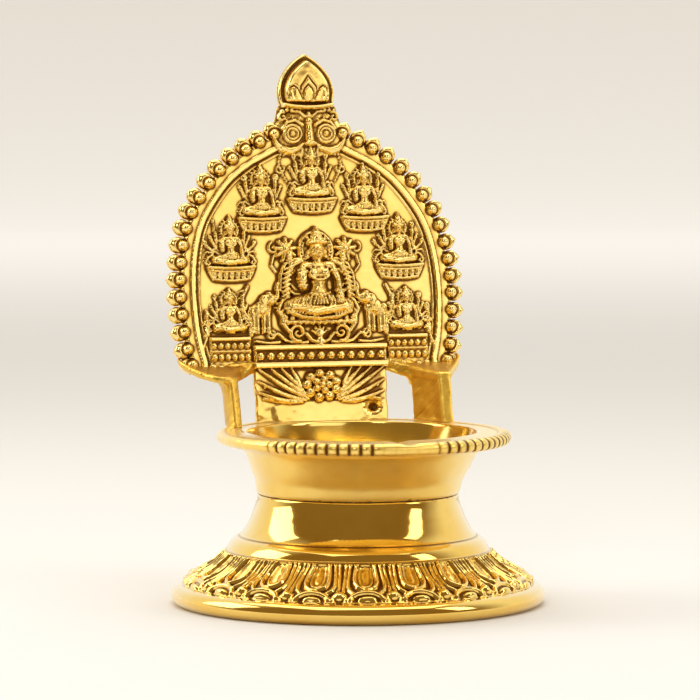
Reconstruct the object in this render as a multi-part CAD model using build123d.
from build123d import *
import math
import os

# Brass oil lamp with a tall arched back plate, in millimetres.
# Frame: origin at the centre of the foot's resting face, +Z up. The front, with
# the wick channel, faces -Y; the back plate stands over the rim on the +Y side.
#
# Pieces: a hollow foot, a bowl with a wide ringed rim on the foot's waist, a back
# plate on the rim, a stud, washer and nut that clamp bowl to foot, and four
# screws that hold the plate.

os.makedirs("parts", exist_ok=True)

# ------------------------------------------------------- shared dimensions
WAIST_Z = 41.2             # top of the foot
WAIST_R = 37.5
WEB_T = 4.0                # flat web that closes the foot's top
REGISTER_R = 10.0          # boss under the bowl that centres it in the web
SWIVEL_GAP = 0.02          # above and below the web, to bowl and washer
RUN_GAP = 0.05             # radial, between the boss and the web

BOWL_BOTTOM_Z = WAIST_Z + SWIVEL_GAP
RING_BOTTOM_Z = 60.0       # underside of the rim ring, where the screw heads seat
BOWL_TOP_Z = 64.5          # flat of the rim flange, where the plate stands

PLATE_Y = 44.0             # plate's front face, at the level of the flange
PANEL_HALF_BOTTOM = 25.0   # half-width of the plate's lower panel
PANEL_HALF_TOP = 26.6

STUD_R = 4.0
STUD_BOTTOM_Z = 25.5
STUD_TOP_Z = 44.4
WASHER_T = 2.0
WASHER_TOP_Z = WAIST_Z - WEB_T - SWIVEL_GAP

SCREW_R = 1.0
SCREW_HEAD_R = 2.1
LEG_SCREW_X, LEG_SCREW_Y = 40.95, 28.4
PANEL_SCREW_X, PANEL_SCREW_Y = 13.0, PLATE_Y + 1.9
SCREWS = {
    "plate_screw_left_leg": (-LEG_SCREW_X, LEG_SCREW_Y),
    "plate_screw_right_leg": (LEG_SCREW_X, LEG_SCREW_Y),
    "plate_screw_left_panel": (-PANEL_SCREW_X, PANEL_SCREW_Y),
    "plate_screw_right_panel": (PANEL_SCREW_X, PANEL_SCREW_Y),
}


# ----------------------------------------------------------------- helpers
def revolve_profile(points):
    """Solid of revolution about Z from a closed list of (radius, z)."""
    with BuildPart() as turned:
        with BuildSketch(Plane.XZ):
            with BuildLine():
                Polyline(*points, close=True)
            make_face()
        revolve(axis=Axis.Z)
    return turned.part


def polygon(points, z=0.0):
    """Level face through a closed list of points, at height z."""
    with BuildSketch(Plane.XY.offset(z)) as face:
        with BuildLine():
            Polyline(*points, close=True)
        make_face()
    return face.sketch


def circle_at(z, radius, y=0.0):
    return Pos(0, y, z) * Circle(radius)


def ellipse_at(z, half_x, half_y, y):
    return Pos(0, y, z) * Ellipse(half_x, half_y)


def upright(z, radius, height, x=0.0, y=0.0):
    """Upright cylinder whose bottom face is at height z."""
    return extrude(Pos(x, y, z) * Circle(radius), amount=height)


def write(shape, name):
    shape.label = name
    export_step(shape, f"parts/{name}.step")


# -------------------------------------------------------------------- foot
FOOT_R = 69.8              # widest radius, on the rolled edge
ROLL_R = 3.7               # radius of the rolled edge's section
REST_R_OUT = 64.8          # the ring the foot rests on
REST_R_IN = 60.6
WEB_UNDER_R = WAIST_R - 3.8    # where the inside wall meets the web's underside

# Outer profile above the rolled edge, upward: (radius, z).
FOOT_BAND = [
    (65.3, 7.6), (63.9, 9.0), (61.6, 10.9), (58.9, 12.5), (56.2, 14.0),
    (53.8, 15.6), (51.9, 17.3), (50.2, 19.0), (49.6, 19.9),
]
FOOT_SCOTIA = [
    (48.9, 20.3), (47.5, 21.9), (46.0, 23.5), (44.7, 25.0), (43.6, 25.4),
    (42.9, 26.9), (42.0, 28.4), (41.2, 29.9), (40.5, 31.4), (39.8, 33.0),
    (39.2, 34.6), (38.6, 36.2), (38.1, 37.8), (37.75, 39.3), (WAIST_R, WAIST_Z),
]
# Inside wall, downward from the web to the resting ring: (radius, z).
FOOT_INSIDE = [
    (WEB_UNDER_R, WAIST_Z - WEB_T),
    (35.6, 33.5), (37.6, 28.6), (40.2, 24.0), (43.6, 19.8), (46.4, 16.4),
    (50.0, 12.7), (54.4, 9.6), (58.6, 6.6), (REST_R_IN, 3.2), (REST_R_IN, 0.0),
]


def make_foot():
    roll = [(REST_R_OUT, 0.0)]
    for degrees in range(-75, 90, 15):
        angle = math.radians(degrees)
        roll.append((
            FOOT_R - ROLL_R + ROLL_R * math.cos(angle),
            ROLL_R + ROLL_R * math.sin(angle),
        ))
    hole_r = REGISTER_R + RUN_GAP
    web_hole = [(hole_r, WAIST_Z), (hole_r, WAIST_Z - WEB_T)]
    return revolve_profile(roll + FOOT_BAND + FOOT_SCOTIA + web_hole + FOOT_INSIDE)


# -------------------------------------------------------------------- bowl
RING_TOP_Z = 65.0
RING_W = 7.0               # width of the raised ring round the rim
RING_FILLET = 2.3
RIM_HALF_X = 55.0
RIM_HALF_Y = 58.0
RIM_Y = -5.5
UNDER_INSET = 3.6          # the flare under the flange stops this far in from the rim
UNDER_OVERLAP = 0.8        # and runs this far up into it
MOUTH_R = 42.7
MOUTH_Y = -5.0             # the mouth is set forward of the foot's axis
NECK_Z = 57.0              # where the cone meets the flare
NECK_R = 43.3
NECK_Y = MOUTH_Y * 0.9
FLOOR_Z = 46.5
FLOOR_R = 36.2
FLOOR_Y = MOUTH_Y * 0.25
FLOOR_FILLET = 4.5
REGISTER_DEPTH = 3.0       # boss below the bowl's bottom face
REGISTER_OVERLAP = 0.5     # boss up into the cone
CHANNEL_R = 2.6
CHANNEL_RISE = 1.1         # channel's axis above the ring's top
CHANNEL_START = 1.0        # starts this far in front of the rim

# Level seats cut across the ring: centre x, centre y, size x, size y.
SEATS = [
    (0, PLATE_Y + 2.4, 2 * PANEL_HALF_BOTTOM + 1.4, 8.4),
    (-39.6, 29.2, 12.6, 17.8),
    (39.6, 29.2, 12.6, 17.8),
]


def make_bowl():
    # The cone and the cavity both lean forward, towards the mouth.
    cone = loft([circle_at(BOWL_BOTTOM_Z, WAIST_R), circle_at(NECK_Z, NECK_R, NECK_Y)])
    under = loft([
        circle_at(NECK_Z - 0.01, NECK_R, NECK_Y),
        ellipse_at(
            RING_BOTTOM_Z + UNDER_OVERLAP,
            RIM_HALF_X - UNDER_INSET, RIM_HALF_Y - UNDER_INSET, RIM_Y,
        ),
    ])
    flange = extrude(
        ellipse_at(RING_BOTTOM_Z, RIM_HALF_X, RIM_HALF_Y, RIM_Y),
        amount=RING_TOP_Z - RING_BOTTOM_Z,
    )
    flange = fillet(flange.edges().filter_by(GeomType.ELLIPSE), RING_FILLET)
    recess = extrude(
        ellipse_at(BOWL_TOP_Z, RIM_HALF_X - RING_W, RIM_HALF_Y - RING_W, RIM_Y), amount=2.0
    )
    boss = upright(
        BOWL_BOTTOM_Z - REGISTER_DEPTH, REGISTER_R, REGISTER_DEPTH + REGISTER_OVERLAP
    )
    cavity = loft([
        circle_at(FLOOR_Z, FLOOR_R, FLOOR_Y),
        circle_at(BOWL_TOP_Z + 0.6, MOUTH_R, MOUTH_Y),
    ])
    cavity = fillet(cavity.faces().sort_by(Axis.Z)[0].edges(), FLOOR_FILLET)

    # Blind hole that stops below the cavity's floor.
    hole_z = BOWL_BOTTOM_Z - REGISTER_DEPTH - 1.0
    stud_hole = upright(hole_z, STUD_R, STUD_TOP_Z + 0.1 - hole_z)
    bowl = cone + under + flange + boss - recess - cavity - stud_hole

    # Shallow wick channel across the front of the flange, opening into the mouth.
    channel_place = Pos(0, RIM_Y - RIM_HALF_Y - CHANNEL_START, RING_TOP_Z + CHANNEL_RISE)
    bowl = bowl - channel_place * Rot(-90, 0, 0) * extrude(
        Circle(CHANNEL_R), amount=RIM_HALF_Y - MOUTH_R + 6.0
    )

    # Each screw has a spot face under the flange and a clearance hole through it.
    for x, y in SCREWS.values():
        bowl = bowl - upright(RING_BOTTOM_Z - 6.0, SCREW_HEAD_R + 0.4, 6.0, x, y)
        bowl = bowl - upright(RING_BOTTOM_Z - 1.0, SCREW_R + 0.1, 8.0, x, y)

    for x, y, size_x, size_y in SEATS:
        bowl = bowl - Pos(x, y, BOWL_TOP_Z + 1.0) * Box(size_x, size_y, 2.0)
    return bowl


# -------------------------------------------------------------- back plate
PLATE_LEAN = 10.5          # degrees, top leans back
PLATE_T = 3.6
LEG_TOP_Z = 82.0
LEG_LEAN = 5.8             # the legs lean back by this much over their height
SHELF_T = 3.0
SHELF_SLOPE = 6.0          # degrees, rising to the back
SHELF_PIVOT_Y = 27.6       # the slope turns about this line
SHELF_PIVOT_Z = LEG_TOP_Z - 1.6
SHELF_BACK_Y = PLATE_Y + 6.4

# Right half of each outline in the plate's own plane, upward: (across, up).
ARCH = [
    (55.9, 22.6), (57.2, 28.0), (58.6, 36.0), (59.2, 43.0), (58.9, 52.0),
    (57.6, 63.0), (54.6, 74.5), (50.0, 84.0), (44.6, 92.0), (38.6, 99.5),
    (31.6, 105.2), (24.4, 109.4), (18.4, 112.0), (14.6, 114.0),
]
NECK = [(13.4, 117.0), (12.0, 120.2), (11.0, 122.6)]
FINIAL = [
    (11.9, 126.0), (12.0, 129.0), (10.9, 133.0), (8.4, 136.6), (4.6, 139.4), (0.0, 140.8),
]
PANEL = [(PANEL_HALF_BOTTOM, -3.0), (PANEL_HALF_TOP, 23.5)]
FRAME = [
    (46.2, 24.0), (47.9, 32.0), (48.9, 42.0), (48.8, 52.0), (47.6, 62.5), (44.6, 73.0),
    (40.9, 82.0), (35.8, 90.0), (29.4, 97.0), (23.6, 101.6), (16.4, 105.4),
]
FINIAL_BOSS = [(9.2, 122.6), (10.0, 128.6), (8.6, 132.8), (5.6, 136.0), (0.0, 138.2)]

# Right shelf and leg seen from above: (x, y).
SHELF_PLAN = [
    (24.0, SHELF_BACK_Y), (26.6, 47.6), (30.6, 44.4), (34.2, 41.6), (41.9, 28.6),
    (45.6, 27.6), (48.6, 33.6), (52.6, 40.0), (55.4, 46.0), (55.9, SHELF_BACK_Y),
]
LEG_PLAN = [
    (41.5, 22.6), (44.9, 21.6), (42.0, 29.8), (37.2, 36.6), (34.3, 36.4), (38.6, 29.4),
]


def both_halves(half):
    """Face from a right half outline and its mirror image."""
    return polygon(half + [(-across, up) for across, up in reversed(half) if across > 0])


def on_plate(face, thickness):
    """Extrude a face drawn in the plate's plane; positive goes out of the front."""
    solid = extrude(face, amount=thickness)
    return Pos(0, PLATE_Y, BOWL_TOP_Z) * Rot(90 - PLATE_LEAN, 0, 0) * solid


def leg_section(z, shift_y):
    return polygon([(x, y + shift_y) for x, y in LEG_PLAN], z)


def make_plate_side():
    """Right shelf, running forward from the plate's lower corner, and its leg."""
    shelf = extrude(polygon(SHELF_PLAN), amount=SHELF_T)
    shelf = (
        Pos(0, SHELF_PIVOT_Y, SHELF_PIVOT_Z)
        * Rot(SHELF_SLOPE, 0, 0)
        * Pos(0, -SHELF_PIVOT_Y, 0)
        * shelf
    )
    leg = loft([leg_section(BOWL_TOP_Z, 0.0), leg_section(LEG_TOP_Z + 0.4, LEG_LEAN)])
    return shelf + leg


def make_back_plate():
    slab = on_plate(both_halves(ARCH + NECK + FINIAL), -PLATE_T)
    panel = on_plate(both_halves(PANEL), -PLATE_T)

    # Raised work on the front.
    step = on_plate(Pos(0, 25.6) * Rectangle(2 * PANEL_HALF_TOP, 8.6), 3.0)
    wing_steps = on_plate(Pos(0, 27.3) * Rectangle(2 * 46.0, 8.2), 1.8)
    frame_outer = both_halves([(across * 1.02, up + 0.4) for across, up in FRAME])
    frame_inner = both_halves([(across * 0.975, up - 1.0) for across, up in FRAME])
    frame_strip = on_plate(frame_outer - frame_inner, 1.3)
    centre_oval = on_plate(Pos(0, 58.0) * Ellipse(40.0, 34.0), 0.9)
    crest_oval = on_plate(Pos(0, 112.5) * Ellipse(12.5, 8.5), 2.2)
    finial_boss = on_plate(both_halves(FINIAL_BOSS), 2.6)

    right_side = make_plate_side()
    left_side = mirror(right_side, about=Plane.YZ)
    plate = (
        slab + panel + wing_steps + step + frame_strip + centre_oval + crest_oval
        + finial_boss + right_side + left_side
    )
    # Cut level where it stands on the flange.
    plate = plate - Pos(0, 0, BOWL_TOP_Z - 20.0) * Box(200, 200, 40.0)
    for x, y in SCREWS.values():
        plate = plate - upright(BOWL_TOP_Z - 1.0, SCREW_R, 6.0, x, y)
    return plate


# --------------------------------------------------------------- fasteners
WASHER_R = 14.0
WASHER_HOLE_R = 4.2
NUT_HALF_FLATS = 13.0 / 2  # half the width across flats
NUT_H = 6.5
SCREW_HEAD_H = 1.6
SHANK_OVERLAP = 0.4        # shank down into the head
SCREW_REACH = 4.6          # shank above the flange, into the plate


def make_stud():
    stud = upright(STUD_BOTTOM_Z, STUD_R, STUD_TOP_Z - STUD_BOTTOM_Z)
    return chamfer(stud.edges(), 0.6)


def make_washer():
    bottom = WASHER_TOP_Z - WASHER_T
    return upright(bottom, WASHER_R, WASHER_T) - upright(
        bottom - 1, WASHER_HOLE_R, WASHER_T + 2
    )


def make_nut():
    top = WASHER_TOP_Z - WASHER_T
    bottom = top - NUT_H
    hexagon = Pos(0, 0, bottom) * RegularPolygon(NUT_HALF_FLATS, 6, major_radius=False)
    nut = extrude(hexagon, amount=NUT_H)
    # Bevel the hexagon's corners at both ends.
    end_r = NUT_HALF_FLATS - 0.1
    middle_r = NUT_HALF_FLATS + 1.1
    nut = nut & revolve_profile([
        (0, bottom), (end_r, bottom), (middle_r, bottom + 0.8),
        (middle_r, top - 0.8), (end_r, top), (0, top),
    ])
    return nut - upright(bottom - 1, STUD_R, NUT_H + 2)


def make_screw(x, y):
    """Upward screw, its slotted head below the flange."""
    shank_z = RING_BOTTOM_Z - SHANK_OVERLAP
    shank = upright(shank_z, SCREW_R, BOWL_TOP_Z + SCREW_REACH - shank_z, x, y)
    head_z = RING_BOTTOM_Z - SCREW_HEAD_H
    head = upright(head_z, SCREW_HEAD_R, SCREW_HEAD_H, x, y)
    head = fillet(head.edges().sort_by(Axis.Z)[0], 0.9)
    slot = Pos(x, y, head_z) * Box(6.0, 0.7, 1.2)
    return shank + (head - slot)


write(make_foot(), "foot")
write(make_bowl(), "bowl")
write(make_back_plate(), "back_plate")
write(make_stud(), "clamp_stud")
write(make_washer(), "clamp_washer")
write(make_nut(), "clamp_nut")
for name, (x, y) in SCREWS.items():
    write(make_screw(x, y), name)
